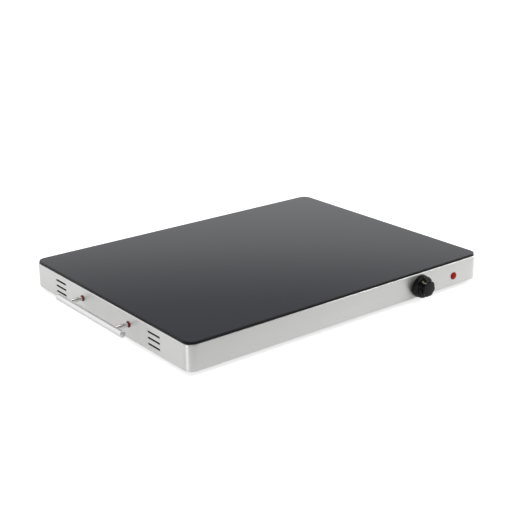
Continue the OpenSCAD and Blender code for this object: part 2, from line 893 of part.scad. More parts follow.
module contact_points() {
    color([0.85, 0.85, 0.86]) in_tray() at_thermostat()
        translate([contact_x, (blade_y0 + blade_y1) / 2, 0]) {
            translate([0, 0, blade_z - contact_t]) cylinder(r = contact_r, h = contact_t);
            translate([0, 0, blade_z - blade_drop + blade_t])
                cylinder(r = contact_r, h = contact_t);
        }
}

module bimetal_strip() {
    color([0.62, 0.58, 0.52]) in_tray() at_thermostat() difference() {
        translate([bimetal_x0, blade_y0 + 1, bimetal_z])
            cube([block_x1 - bimetal_x0, blade_y1 - blade_y0 - 1, bimetal_t]);
        translate([(block_x0 + block_x1) / 2, (blade_y0 + blade_y1) / 2, bimetal_z - 1])
            cylinder(r = rivet_r + fit, h = bimetal_t + 2);
    }
}

module push_pin() {
    color([0.92, 0.9, 0.86]) in_tray() at_thermostat()
        translate([-6, cam_y1 + 2.4, blade_z + blade_t])
            cylinder(r = 1.2, h = bimetal_z - blade_z - blade_t);
}

// ---- lamp ----

// The lens is a red cap with a bevelled head and a hollow barrel through the panel
module lamp_lens() {
    color([0.78, 0.05, 0.06]) in_tray() on_front(lamp_x, lamp_z) difference() {
        rotate_extrude() polygon([
            [0, -lens_in],
            [barrel_r, -lens_in],
            [barrel_r, 0],
            [lens_r, 0],
            [lens_r, lens_out * 0.4],
            [lens_r - lens_out * 0.5, lens_out * 0.9],
            [0, lens_out],
        ]);
        translate([0, 0, -lens_in - 1]) cylinder(r = barrel_r - lens_wall, h = lens_in);
    }
}

module lamp_body() {
    color([0.85, 0.85, 0.83]) in_tray() on_front(lamp_x, lamp_z) {
        translate([0, 0, -lens_in])
            cylinder(r = barrel_r - lens_wall - 0.1, h = lamp_base_h);
        translate([0, 0, -lens_in - lamp_base_h]) cylinder(r = barrel_r, h = lamp_base_h);
        translate([0, 0, -lens_in + lamp_base_h - eps]) cylinder(r = 2, h = 6);
    }
}

// A sprung ring that grips the barrel and bears on the inside of the panel
module lamp_clip() {
    color([0.66, 0.67, 0.68]) in_tray() on_front(lamp_x, lamp_z)
        translate([0, 0, -sheet_t - lamp_clip_h]) difference() {
            cylinder(r1 = barrel_r + 1, r2 = barrel_r + 3, h = lamp_clip_h);
            translate([0, 0, -1]) cylinder(r = barrel_r + fit, h = lamp_clip_h + 2);
            translate([-0.8, 0, -1]) cube([1.6, 20, lamp_clip_h + 2]);
        }
}

// ---- mains side ----

module inlet_housing() {
    wall = (inlet_w - socket_w) / 2;
    color([0.07, 0.07, 0.07]) in_tray() on_back(inlet_x, inlet_z) difference() {
        union() {
            translate([-inlet_w / 2, -inlet_h / 2, -inlet_body])
                cube([inlet_w, inlet_h, inlet_body + eps]);
            round_plate(inlet_flange_w, inlet_flange_h, 3, inlet_flange_t);
        }
        translate([0, 0, -inlet_body + 3]) linear_extrude(inlet_body + inlet_flange_t)
            polygon([
                [-socket_w / 2, -socket_h / 2],
                [socket_w / 2, -socket_h / 2],
                [socket_w / 2, socket_h / 2 - 4],
                [socket_w / 2 - 4, socket_h / 2],
                [-socket_w / 2 + 4, socket_h / 2],
                [-socket_w / 2, socket_h / 2 - 4],
            ]);
        for (s = [-1, 1]) {
            translate([s * inlet_screw_pitch / 2, 0, -1])
                cylinder(r = screw_r + fit, h = inlet_flange_t + 2);
            translate([s * inlet_screw_pitch / 2, 0, inlet_flange_t - 1.6])
                cylinder(r1 = screw_r + fit, r2 = screw_r + fit + 1.6 + eps, h = 1.6 + eps);
        }
        inlet_pin_places() translate([-pin_t / 2, -pin_w / 2, -inlet_body - 1])
            cube([pin_t, pin_w, 5]);
    }
}

module inlet_pin_places() {
    for (p = [[-pin_side, -pin_low, 0], [pin_side, -pin_low, 0], [0, pin_low, 0]]) {
        translate(p) children();
    }
}

// Three flat pins that go through the floor of the socket and end in tabs behind it
module inlet_pins() {
    color([0.78, 0.76, 0.68]) in_tray() on_back(inlet_x, inlet_z) inlet_pin_places()
        translate([-pin_t / 2, -pin_w / 2, -inlet_body - tab_len])
            cube([pin_t, pin_w, tab_len + 3 + pin_out]);
}

module inlet_screws() {
    color([0.6, 0.6, 0.61]) in_tray() on_back(inlet_x, inlet_z) for (s = [-1, 1]) {
        translate([s * inlet_screw_pitch / 2, 0, 0]) {
            translate([0, 0, -sheet_t - 4])
                cylinder(r = screw_r, h = sheet_t + 4 + inlet_flange_t - 1.6);
            translate([0, 0, inlet_flange_t - 1.6])
                cylinder(r1 = screw_r, r2 = screw_r + 1.6, h = 1.6);
        }
    }
}

module inlet_nuts() {
    color([0.6, 0.6, 0.61]) in_tray() on_back(inlet_x, inlet_z) for (s = [-1, 1]) {
        translate([s * inlet_screw_pitch / 2, 0, -sheet_t - m3_high])
            hex_nut(m3_across, m3_high, screw_r + fit);
    }
}

// The thermal fuse lies under the middle of the right-hand bar
fuse_in = 110; // distance of the fuse's middle from the tray's back
fuse_y = back_y - fuse_in;
fuse_len = 26;
fuse_r = 2.6;
fuse_z = bar_z - fuse_r - 0.2;
fuse_x = bar_pitch;

module thermal_fuse() {
    color([0.88, 0.88, 0.85]) in_tray() translate([fuse_x, fuse_y, fuse_z]) {
        rotate([90, 0, 0]) translate([0, 0, -fuse_len / 2]) cylinder(r = fuse_r, h = fuse_len);
    }
}

// A strap that wraps the fuse and bears on the bar on both sides of it
module fuse_clip() {
    t = 0.6;
    ring = fuse_r + 0.1;
    color([0.66, 0.67, 0.68]) in_tray() translate([fuse_x, fuse_y, fuse_z])
        rotate([90, 0, 0]) translate([0, 0, -4]) linear_extrude(8) difference() {
            union() {
                circle(r = ring + t);
                translate([-ring - t, 0]) square([2 * ring + 2 * t, bar_z - fuse_z]);
                translate([-7, bar_z - fuse_z - t]) square([14, t]);
            }
            circle(r = ring);
            translate([-ring, 0]) square([2 * ring, 20]);
        }
}

earth_x = inlet_x;
earth_in = 80; // distance of the earth screw from the tray's back
earth_y = back_y - earth_in;
earth_top_z = 8;

module earth_screw() {
    color([0.72, 0.66, 0.42]) in_tray() translate([earth_x, earth_y, -cover_t])
        mirror([0, 0, 1])
            pan_screw(foot_screw_r, cover_t + earth_top_z, foot_screw_r * 1.9, earth_head_h);
}

module earth_nut() {
    color([0.72, 0.66, 0.42]) in_tray() translate([earth_x, earth_y, 0])
        hex_nut(m4_across, m4_high, foot_screw_r + fit);
}

// ---- leads ----

pin_back_y = back_y - inlet_body - tab_len;
blade_tab_x = knob_x + block_x1 + tab_len;
blade_mid_y = front_y + sheet_t + (blade_y0 + blade_y1) / 2;
lower_blade_z = knob_z + blade_z - blade_drop + blade_t / 2;
upper_blade_z = knob_z + blade_z + blade_t / 2;
pin_z = inlet_z - pin_low;
earth_pin_z = inlet_z + pin_low;
heat_tail_x = heat_end_x + lead_bend;
heat_tail_z = heat_z - heat_drop;
fuse_lane_x = max(blade_tab_x, fuse_x) + lead_lane;
neutral_y = pin_back_y - 1.5 * lead_run;

// From the inlet's live pin to the fuse
module live_lead() {
    y = pin_back_y - lead_run;
    color([0.42, 0.2, 0.1]) in_tray() lead([
        [live_x, pin_back_y, pin_z],
        [live_x, y, pin_z],
        [live_x, y, fuse_z],
        [live_x, fuse_y + fuse_len / 2, fuse_z],
    ], lead_r, lead_bend);
}

// From the fuse to the thermostat's lower blade
module fuse_lead() {
    y = fuse_y - fuse_len / 2 - lead_run;
    color([0.42, 0.2, 0.1]) in_tray() lead([
        [fuse_x, fuse_y - fuse_len / 2, fuse_z],
        [fuse_x, y, fuse_z],
        [fuse_x, y, lower_blade_z],
        [fuse_lane_x, y, lower_blade_z],
        [fuse_lane_x, blade_mid_y, lower_blade_z],
        [blade_tab_x, blade_mid_y, lower_blade_z],
    ], lead_r, lead_bend);
}

// From the thermostat's upper blade to the front end of the heating wire
module heater_lead() {
    x = blade_tab_x + 12;
    color([0.75, 0.72, 0.66]) in_tray() lead([
        [heat_tail_x, run_y(0), heat_tail_z],
        [heat_tail_x, run_y(0), upper_blade_z],
        [x, run_y(0), upper_blade_z],
        [x, blade_mid_y, upper_blade_z],
        [blade_tab_x, blade_mid_y, upper_blade_z],
    ], lead_r, lead_bend);
}

// From the inlet's neutral pin to the back end of the heating wire
module neutral_lead() {
    color([0.15, 0.3, 0.6]) in_tray() lead([
        [neutral_x, pin_back_y, pin_z],
        [neutral_x, neutral_y, pin_z],
        [heat_tail_x, neutral_y, pin_z],
        [heat_tail_x, run_y(heat_runs - 1), pin_z],
        [heat_tail_x, run_y(heat_runs - 1), heat_tail_z],
    ], lead_r, lead_bend);
}

// From the inlet's earth pin to the screw in the cover
module earth_lead() {
    color([0.3, 0.6, 0.2]) in_tray() lead([
        [earth_x, pin_back_y, earth_pin_z],
        [earth_x, earth_y, earth_pin_z],
        [earth_x, earth_y, earth_top_z],
    ], lead_r, lead_bend);
}

// The lamp's two thin leads, one to each side of the heating circuit
module lamp_leads() {
    y = front_y + lens_in + lamp_base_h;
    color([0.8, 0.8, 0.78]) in_tray() {
        lead([
            [lamp_x - 2.5, y, lamp_z],
            [lamp_x - 2.5, run_y(0), lamp_z],
            [lamp_x - 2.5, run_y(0), upper_blade_z + lead_r],
        ], lamp_lead_r, lamp_lead_bend);
        lead([
            [lamp_x + 2.5, y, lamp_z],
            [lamp_x + 2.5, neutral_y, lamp_z],
            [lamp_x + 2.5, neutral_y, pin_z + lead_r],
        ], lamp_lead_r, lamp_lead_bend);
    }
}

// Insulating sleeves over the tabs of the blades and of the inlet
module tab_sleeves() {
    grip = tab_len - 1;
    cap = 2;
    w = blade_y1 - blade_y0;
    color([0.88, 0.86, 0.8]) in_tray() {
        for (z = [lower_blade_z, upper_blade_z]) {
            translate([blade_tab_x, blade_mid_y, z]) difference() {
                translate([-grip, -w / 2 - 0.6, -1.4]) cube([grip + cap, w + 1.2, 2.8]);
                translate([-grip - 1, -w / 2 - fit, -blade_t / 2 - fit])
                    cube([grip + 1 + fit, w + 2 * fit, blade_t + 2 * fit]);
                translate([-1, 0, 0]) rotate([0, 90, 0]) cylinder(r = lead_r + fit, h = cap + 2);
            }
        }
        on_back(inlet_x, inlet_z) inlet_pin_places()
            translate([0, 0, -inlet_body - tab_len]) difference() {
                translate([-pin_t / 2 - 0.8, -pin_w / 2 - 0.8, -cap])
                    cube([pin_t + 1.6, pin_w + 1.6, grip + cap]);
                translate([-pin_t / 2 - fit, -pin_w / 2 - fit, -fit])
                    cube([pin_t + 2 * fit, pin_w + 2 * fit, grip + 1]);
                translate([0, 0, -cap - 1]) cylinder(r = lead_r + fit, h = cap + 2);
            }
    }
}

side_band();
glass_top();
glass_seal();
heat_spreader();
heating_wire();
insulation_mat();
press_bars();
press_bar_screws();
bottom_cover();
cover_screws();
feet();
foot_screws();
foot_nuts();
handle_bar_left();
handle_bar_right();
handle_posts();
red_washers();
handle_screws();
handle_inner_washers();
knob();
knob_clip();
thermostat_shaft();
thermostat_frame();
bush_nut();
thermostat_block();
block_rivet();
contact_blades();
contact_points();
bimetal_strip();
push_pin();
lamp_lens();
lamp_body();
lamp_clip();
thermal_fuse();
fuse_clip();
inlet_housing();
inlet_pins();
inlet_screws();
inlet_nuts();
earth_screw();
earth_nut();
live_lead();
fuse_lead();
heater_lead();
neutral_lead();
earth_lead();
lamp_leads();
tab_sleeves();
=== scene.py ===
# %% [markdown]
# # An electric warming tray
#
# The tray is a black glass plate on a folded band of brushed steel. It has a bar handle
# at each end, a thermostat knob and a small red lamp. Its exact shape comes from a CAD
# model, which is loaded first and stays as it is. This notebook gives every surface its
# finish, and makes in Blender what CAD leaves plain: rounded edges, a knob with no sharp
# corners, and screws with a recess for the screwdriver.

# %% Load the model
import math

import bmesh
import bpy
from mathutils import Matrix, Vector


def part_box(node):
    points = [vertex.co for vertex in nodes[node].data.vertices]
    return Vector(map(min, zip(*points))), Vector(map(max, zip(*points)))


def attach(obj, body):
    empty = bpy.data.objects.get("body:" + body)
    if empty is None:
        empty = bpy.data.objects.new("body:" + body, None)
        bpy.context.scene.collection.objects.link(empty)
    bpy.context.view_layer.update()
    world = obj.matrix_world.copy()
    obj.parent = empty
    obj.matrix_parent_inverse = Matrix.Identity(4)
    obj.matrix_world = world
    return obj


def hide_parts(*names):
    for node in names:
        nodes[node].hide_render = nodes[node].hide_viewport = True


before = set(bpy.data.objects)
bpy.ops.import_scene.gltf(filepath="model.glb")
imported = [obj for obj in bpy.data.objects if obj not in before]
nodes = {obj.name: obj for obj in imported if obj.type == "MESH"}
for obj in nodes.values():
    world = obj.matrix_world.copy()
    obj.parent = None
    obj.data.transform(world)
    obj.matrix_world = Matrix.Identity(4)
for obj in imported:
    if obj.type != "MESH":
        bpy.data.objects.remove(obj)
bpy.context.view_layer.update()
print("CAD nodes:", len(nodes))

# %% [markdown]
# ## Helpers
#
# Colours are picked on a screen, so they are written as sRGB hex values. Blender's
# shaders work in linear light, and one function turns the first into the second. The
# world, the materials and Geometry Nodes are all small graphs of nodes, and one more
# function adds a node with its settings and links.

# %% Colour and node helpers
MM = 0.001  # a millimetre in metres
MULTIPLY = {"operation": "MULTIPLY"}  # this and the next ones are settings of nodes
MAXIMUM = {"operation": "MAXIMUM"}
SUBTRACT = {"operation": "SUBTRACT"}
DOT = {"operation": "DOT_PRODUCT"}
EASED = {"interpolation_type": "SMOOTHSTEP"}
COLOURS = {"data_type": "RGBA"}  # a Mix node of colours gives its result as output 2


def linear(hex_colour):
    """An sRGB hex colour such as "c0c0c0" as linear RGB."""
    parts = [int(hex_colour[i : i + 2], 16) / 255 for i in (0, 2, 4)]
    return [p / 12.92 if p <= 0.04045 else ((p + 0.055) / 1.055) ** 2.4 for p in parts]


def colour(hex_colour):
    return (*linear(hex_colour), 1.0)


def grey(level):
    """A grey that is given by its linear level."""
    return (level, level, level, 1.0)


def add(tree, kind, settings=None, **inputs):
    """Adds one node. Settings are its properties. An input is named by its socket, with _
    for a space, or i0, i1 for its place. It's given a value, or a socket or node to link,
    or a list of these. A node is linked by its first output."""
    node = tree.nodes.new(kind)
    for name, value in (settings or {}).items():
        setattr(node, name, value)
    for name, value in inputs.items():
        if name[0] == "i" and name[1:].isdigit():
            socket = node.inputs[int(name[1:])]
        else:
            socket = node.inputs[name.replace("_", " ")]
        for source in value if isinstance(value, list) else [value]:
            if isinstance(source, bpy.types.Node):
                source = source.outputs[0]
            if isinstance(source, bpy.types.NodeSocket):
                tree.links.new(source, socket)
            else:
                socket.default_value = source
    return node


def blank_tree(owner):
    """The empty node tree of a material or a world."""
    owner.use_nodes = True
    owner.node_tree.nodes.clear()
    return owner.node_tree


def new_material(name):
    material = bpy.data.materials.new(name)
    return material, blank_tree(material)


# %% [markdown]
# ## The camera
#
# The camera stands where the photographer's stood. Its place was worked out from the
# straight edges of the tray: their vanishing points give the direction, and the tray's
# own proportions give the distance. A long lens from 1.8 metres away keeps the edges
# nearly parallel.

# %% Camera
# The place was worked out from the middle of the band's lower edge, in mm. That point lies
# this far behind and above the model's origin.
BAND_BACK = 8.75
BAND_UP = 7.0
CAMERA_PLACE = (-1058.8 * MM, (-1342.0 + BAND_BACK) * MM, (649.9 + BAND_UP) * MM)
CAMERA_YAW = -38.169  # degrees, from looking straight along +Y
CAMERA_PITCH = 19.483  # degrees, looking down
CAMERA_ROLL = -0.486
FOCAL_PIXELS = 1072.6
FRAME_PIXELS = 512
SENSOR_WIDTH = 36.0


def camera_axes(yaw, pitch, roll):
    """The camera's right, up and backward directions."""
    a, e, r = (math.radians(v) for v in (yaw, pitch, roll))
    back = Vector((math.sin(a) * math.cos(e), -math.cos(a) * math.cos(e), math.sin(e)))
    right = Vector((0, 0, 1)).cross(back).normalized()
    up = back.cross(right)
    turned_right = right * math.cos(r) + up * math.sin(r)
    turned_up = up * math.cos(r) - right * math.sin(r)
    return turned_right, turned_up, back


scene = bpy.context.scene
lens = bpy.data.cameras.new("camera")
lens.sensor_width = SENSOR_WIDTH
lens.lens = SENSOR_WIDTH * FOCAL_PIXELS / FRAME_PIXELS
lens.clip_start = 0.05
lens.clip_end = 50.0
camera = bpy.data.objects.new("camera", lens)
scene.collection.objects.link(camera)
turn = Matrix(camera_axes(CAMERA_YAW, CAMERA_PITCH, CAMERA_ROLL)).transposed()
camera.matrix_world = Matrix.Translation(CAMERA_PLACE) @ turn.to_4x4()
scene.camera = camera
print("lens", round(lens.lens, 2), "mm")

# %% [markdown]
# ## The studio
#
# The tray is photographed on white. Steel and black glass have hardly any colour of their
# own and show the room instead, so the room is what has to be right:
#
# - the walls are white down to the horizon, and end the long steel faces in a soft sheen;
# - behind the tray the white wall runs up into a dark ceiling. The glass shows that as a
#   gradient from mid grey at the far edge to nearly black in front;
# - the half of the room behind the camera is unlit. Knob, posts and washers show it as
#   deep shade, which is what makes them look glossy;
# - a tall bright window on the left draws the streak down the rounded front corner.

# %% World
scene.view_settings.view_transform = "Standard"
world = bpy.data.worlds.new("studio")
scene.world = world
sky = blank_tree(world)
direction = add(sky, "ShaderNodeTexCoord").outputs["Generated"]
height = add(sky, "ShaderNodeSeparateXYZ", i0=direction).outputs["Z"]
flat_way = add(sky, "ShaderNodeVectorMath", MULTIPLY, i0=direction, i1=(1, 1, 0))
level_way = add(sky, "ShaderNodeVectorMath", {"operation": "NORMALIZE"}, i0=flat_way)
print("world:", world.name)

# %% The room
# Azimuths are in degrees from +X towards +Y, and heights are the sine of the angle above
# the horizon. A fade is the value where a mask is 0 and the value where it's 1. The fades
# to the sides are cosines of the angle from the azimuth.
WALL_WHITE = 1.06
WHITE_WALL = [(0.0, 1.0), (0.6, 0.96), (1.0, 0.90)]  # height and grey level
DARK_CEILING = [
    (0.0, 1.0), (0.24, 0.86), (0.29, 0.75), (0.322, 0.665), (0.347, 0.495),
    (0.372, 0.38), (0.42, 0.365), (0.86, 0.34), (0.97, 0.65),
]
VIEWER_LEVEL = 0.22
WINDOW_LEVEL = 3.2


def wall_shades(stops):
    """The grey of a wall at each height, from a list of heights and levels."""
    shades = add(sky, "ShaderNodeValToRGB", i0=height)
    elements = shades.color_ramp.elements
    while len(elements) < len(stops):
        elements.new(0.5)
    for element, (place, level) in zip(elements, stops):
        element.position = place
        element.color = grey(level)
    return shades


def region(azimuth, sides, heights=()):
    """A mask for the part of the room towards an azimuth, from its fades."""
    way = (math.cos(math.radians(azimuth)), math.sin(math.radians(azimuth)), 0)
    cosine = add(sky, "ShaderNodeVectorMath", DOT, i0=level_way, i1=way).outputs["Value"]
    mask = add(sky, "ShaderNodeMapRange", EASED, Value=cosine,
               From_Min=sides[0], From_Max=sides[1])
    for start, end in heights:
        storey = add(sky, "ShaderNodeMapRange", EASED, Value=height,
                     From_Min=start, From_Max=end)
        mask = add(sky, "ShaderNodeMath", MULTIPLY, i0=mask, i1=storey)
    return mask


ceiling = region(azimuth=36.0, sides=(0.55, 0.78))
viewer = region(azimuth=231.5, sides=(0.0, 0.26), heights=[(-0.10, 0.03), (0.95, 0.78)])
window = region(azimuth=188.0, sides=(0.955, 0.99), heights=[(0.55, 0.35)])
layers = [(ceiling, wall_shades(DARK_CEILING)), (viewer, grey(VIEWER_LEVEL)),
          (window, grey(WINDOW_LEVEL))]
walls = wall_shades(WHITE_WALL)
for mask, shade in layers:
    walls = add(sky, "ShaderNodeMix", COLOURS, Factor=mask, i6=walls, i7=shade).outputs[2]
print("layers over the white wall:", len(layers))

# %% [markdown]
# ## The paper
#
# The camera sees plain white paper all round, and so do metal and glass near the horizon.
# A Light Path node tells what kind of ray is asking, so the background can be white
# without putting more light on the tray. The world holds the paper that hangs upright,
# and the floor the paper that lies down.

# %% Paper in the world
PAPER_HEAD = (0.20, 0.15)  # the fade at its top edge, by height


def ray_kinds(tree):
    """Masks for the rays from the camera, and for those that metal and glass send out."""
    path = add(tree, "ShaderNodeLightPath").outputs
    shiny = add(tree, "ShaderNodeMath", MAXIMUM, i0=path["Is Glossy Ray"],
                i1=path["Is Transmission Ray"])
    return path["Is Camera Ray"], shiny


# Metal and glass see the paper up to its top edge, except on the viewer's side, where none
# hangs.
camera_ray, shiny_ray = ray_kinds(sky)
below_head = add(sky, "ShaderNodeMapRange", EASED, Value=height,
                 From_Min=PAPER_HEAD[0], From_Max=PAPER_HEAD[1])
elsewhere = add(sky, "ShaderNodeMath", SUBTRACT, i0=1.0, i1=viewer)
hung = add(sky, "ShaderNodeMath", MULTIPLY, i0=below_head, i1=elsewhere)
mirrored = add(sky, "ShaderNodeMath", MULTIPLY, i0=shiny_ray, i1=hung)
paper_seen = add(sky, "ShaderNodeMath", MAXIMUM, i0=camera_ray, i1=mirrored)
room = add(sky, "ShaderNodeBackground", Color=walls, Strength=WALL_WHITE)
paper = add(sky, "ShaderNodeBackground", Color=grey(1.0), Strength=1.0)
seen = add(sky, "ShaderNodeMixShader", i0=paper_seen, i1=room, i2=paper)
add(sky, "ShaderNodeOutputWorld", i0=seen)
print("world nodes:", len(sky.nodes))

# %% Paper on the floor
CAMERA_GLOW = 0.75  # added for the camera, so that the paper shows as white
MIRROR_GLOW = 0.24  # added for metal and glass, which see the same paper
PAPER_FRONT = -0.40  # the paper ends here; metal and glass see a dark floor beyond
PAPER_FADE = 0.06
FIBRE_SIZE = 2.5  # mm, drawn far coarser than real fibres, which wouldn't show
FLOOR_HALF = 12.0


def white_paper():
    """The floor: a pale sheet that shows as white, and still takes the tray's shadow."""
    material, tree = new_material("white_paper_sheet")
    place = add(tree, "ShaderNodeTexCoord").outputs["Object"]
    fibre = add(tree, "ShaderNodeTexNoise", Vector=place, Scale=1 / (FIBRE_SIZE * MM))
    pulp = add(tree, "ShaderNodeMix", COLOURS, Factor=fibre, i6=grey(0.80), i7=grey(0.82))
    depth = add(tree, "ShaderNodeSeparateXYZ", i0=place).outputs["Y"]
    on_paper = add(tree, "ShaderNodeMapRange", EASED, Value=depth,
                   From_Min=PAPER_FRONT - PAPER_FADE, From_Max=PAPER_FRONT)
    camera_ray, shiny_ray = ray_kinds(tree)
    white = add(tree, "ShaderNodeMath", MAXIMUM, i0=on_paper, i1=camera_ray)
    sheet = add(tree, "ShaderNodeMix", COLOURS, Factor=white, i6=colour("2c2c2c"),
                i7=pulp.outputs[2])
    matt = add(tree, "ShaderNodeBsdfDiffuse", Color=sheet.outputs[2])
    direct = add(tree, "ShaderNodeMath", MULTIPLY, i0=camera_ray, i1=CAMERA_GLOW)
    mirrored = add(tree, "ShaderNodeMath", MULTIPLY, i0=shiny_ray, i1=on_paper)
    mirrored = add(tree, "ShaderNodeMath", MULTIPLY, i0=mirrored, i1=MIRROR_GLOW)
    glow = add(tree, "ShaderNodeMath", {"operation": "ADD"}, i0=direct, i1=mirrored)
    light = add(tree, "ShaderNodeEmission", Color=grey(1.0), Strength=glow)
    both = add(tree, "ShaderNodeAddShader", i0=matt, i1=light)
    add(tree, "ShaderNodeOutputMaterial", i0=both)
    return material


floor_mesh = bpy.data.meshes.new("floor")
floor_mesh.from_pydata(
    [(-FLOOR_HALF, -FLOOR_HALF, 0), (FLOOR_HALF, -FLOOR_HALF, 0),
     (FLOOR_HALF, FLOOR_HALF, 0), (-FLOOR_HALF, FLOOR_HALF, 0)], [], [(0, 1, 2, 3)])
floor_mesh.materials.append(white_paper())
floor = bpy.data.objects.new("floor", floor_mesh)
scene.collection.objects.link(floor)
print("floor:", 2 * FLOOR_HALF, "m wide")

# %% [markdown]
# ## Soft boxes
#
# Walls alone give flat light. One soft box on the right, one in front on that side and a
# large one overhead draw the highlights, and give the tray its light shadow.

# %% Soft boxes
def soft_box(name, place, target, size, power):
    """A rectangular area light at a place, facing a target; sizes in metres, power in W."""
    light = bpy.data.lights.new(name, "AREA")
    light.shape = "RECTANGLE"
    light.size, light.size_y = size
    light.energy = power
    lamp = bpy.data.objects.new(name, light)
    lamp.location = place
    lamp.rotation_euler = (Vector(target) - Vector(place)).to_track_quat("-Z", "Y").to_euler()
    scene.collection.objects.link(lamp)


soft_box("right_box", (1.35, -0.25, 0.55), (0.1, -0.1, 0.0), (0.16, 0.22), 3.0)
soft_box("top_box", (-0.10, -0.35, 2.0), (0.0, 0.0, 0.0), (1.2, 1.2), 4.0)
soft_box("front_box", (1.40, -1.00, 1.40), (0.0, -0.2, 0.0), (0.16, 0.14), 3.2)
print("lamps:", len(bpy.data.lights))

# %% [markdown]
# ## Brushed steel
#
# The band is stainless sheet, ground with an abrasive belt that ran along it before it was
# folded. The belt leaves fine parallel scratches, so light smears across them and hardly
# along them. The scratches here are a noise that is stretched along X and Y and tight in
# Z, which suits all four sides at once. They drive the roughness and a faint bump. Real
# scratches lie a few hundredths of a millimetre apart, and are drawn coarser so that they
# show close up. The other metals are made in the same way, each with its own grain.

# %% Steel finishes
CLOUD_SCALE = 18.0  # per metre: blotches of some 55 mm, where the polish varies
CLOUD_SHARE = 0.3
SCRATCH_DEPTH = 0.02  # mm
QUARTER_TURN = 0.25  # of a whole turn: the smear runs across the tangent


def surface(tree, tint, first, second, pattern, rough, **inputs):
    """A Principled BSDF as the material's surface. Its colour goes from one hex colour to
    the other with the tint, and its roughness over a range with the pattern."""
    shades = add(tree, "ShaderNodeMix", COLOURS, Factor=tint, i6=colour(first),
                 i7=colour(second))
    roughness = add(tree, "ShaderNodeMapRange", Value=pattern, To_Min=rough[0],
                    To_Max=rough[1])
    shader = add(tree, "ShaderNodeBsdfPrincipled", Base_Color=shades.outputs[2],
                 Roughness=roughness, **inputs)
    add(tree, "ShaderNodeOutputMaterial", i0=shader)


def scratches(tree, place, along, across, axis):
    """A 0..1 noise drawn out into lines. The sizes are the length and the spacing of the
    lines in millimetres; axis is the direction across which they're tight."""
    scale = [1 / (along * MM)] * 3
    scale["XYZ".index(axis)] = 1 / (across * MM)
    stretch = add(tree, "ShaderNodeMapping", Vector=place, Scale=tuple(scale))
    return add(tree, "ShaderNodeTexNoise", Vector=stretch, Scale=1.0, Detail=3.0,
               Roughness=0.6)


def steel(name, first, second, rough, along, across, axis, bump, anisotropic=0.0):
    """Metal in two close shades, with scratches whose length and spacing are in mm."""
    material, tree = new_material(name)
    place = add(tree, "ShaderNodeTexCoord").outputs["Object"]
    lines = scratches(tree, place, along, across, axis)
    cloud = add(tree, "ShaderNodeTexNoise", Vector=place, Scale=CLOUD_SCALE, Detail=2.0)
    both = add(tree, "ShaderNodeMix", Factor=CLOUD_SHARE, i2=lines, i3=cloud)
    relief = add(tree, "ShaderNodeBump", Strength=bump, Distance=SCRATCH_DEPTH * MM,
                 Height=lines)
    smear = {}
    if anisotropic:
        around = add(tree, "ShaderNodeTangent", {"direction_type": "RADIAL", "axis": "Z"})
        smear = {"Anisotropic": anisotropic, "Anisotropic_Rotation": QUARTER_TURN,
                 "Tangent": around}
    surface(tree, both, first, second, lines, rough, Metallic=1.0, Normal=relief, **smear)
    return material


# Belt-ground stainless sheet: a soft pale sheen with fine lines along the band.
brushed_band = steel("belt_brushed_stainless", "dfdfde", "e9e9e8", (0.34, 0.44),
                     40.0, 0.35, "Z", 0.25, anisotropic=0.8)
# Drawn stainless bar: satin all over, with fine lines along its length.
satin_bar = steel("drawn_satin_stainless", "e6e6e7", "f0f0f1", (0.24, 0.34),
                  25.0, 0.3, "Z", 0.15)
# Turned and buffed posts: nearly a mirror, with faint rings.
buffed_post = steel("turned_buffed_steel", "e0dfdd", "eae9e7", (0.05, 0.11),
                    12.0, 0.25, "X", 0.08)
# Zinc plate on mild steel: greyer, with a faint bloom.
zinc_plate = steel("zinc_plated_steel", "a4a6a8", "b6b8ba", (0.28, 0.45),
                   3.0, 1.5, "Z", 0.2)
# Rolled aluminium sheet: pale, with long rolling lines.
rolled_aluminium = steel("rolled_aluminium", "d4d6d8", "e0e2e4", (0.25, 0.4),
                         60.0, 0.6, "Y", 0.2)
# Brass strip: warm, with a light tarnish.
brass_strip = steel("rolled_brass", "c9a560", "d8b878", (0.18, 0.35), 6.0, 0.8, "Y", 0.15)
# Silver contact faces: pale and nearly plain.
silver_face = steel("silver_contact", "dedede", "ececec", (0.1, 0.2), 1.0, 1.0, "Y", 0.1)
# Bimetal strip: two dull metals rolled together.
bimetal_sheet = steel("rolled_bimetal", "9b948a", "aaa49a", (0.3, 0.45), 8.0, 0.7, "Y", 0.2)
print("materials so far:", len(bpy.data.materials))

# %% [markdown]
# ## Black glass
#
# The plate is toughened float glass, clear as made and printed black underneath. From
# above the eye meets a flat, very smooth skin of reflection over black. A trace of wiping
# marks keeps the reflection from being perfect. The edge is ground, and looks darker.

# %% Glass
GLASS_IOR = 1.5
WIPE_SCALE = (4.0, 14.0, 4.0)  # per metre: strokes of some 250 by 70 mm
WIPE_TURN = 24.0  # degrees
GRIT_SIZE = 0.4  # mm, drawn coarser than the real grit, which wouldn't show


def black_glass():
    material, tree = new_material("black_backed_float_glass")
    place = add(tree, "ShaderNodeTexCoord").outputs["Object"]
    wipe = add(tree, "ShaderNodeMapping", Vector=place, Scale=WIPE_SCALE,
               Rotation=(0, 0, math.radians(WIPE_TURN)))
    marks = add(tree, "ShaderNodeTexNoise", Vector=wipe, Scale=1.0, Detail=4.0,
                Roughness=0.55, Distortion=0.6)
    surface(tree, marks, "080b19", "0c0f1f", marks, (0.03, 0.075), IOR=GLASS_IOR,
            Specular_Tint=(0.90, 0.93, 1.0, 1))
    return material


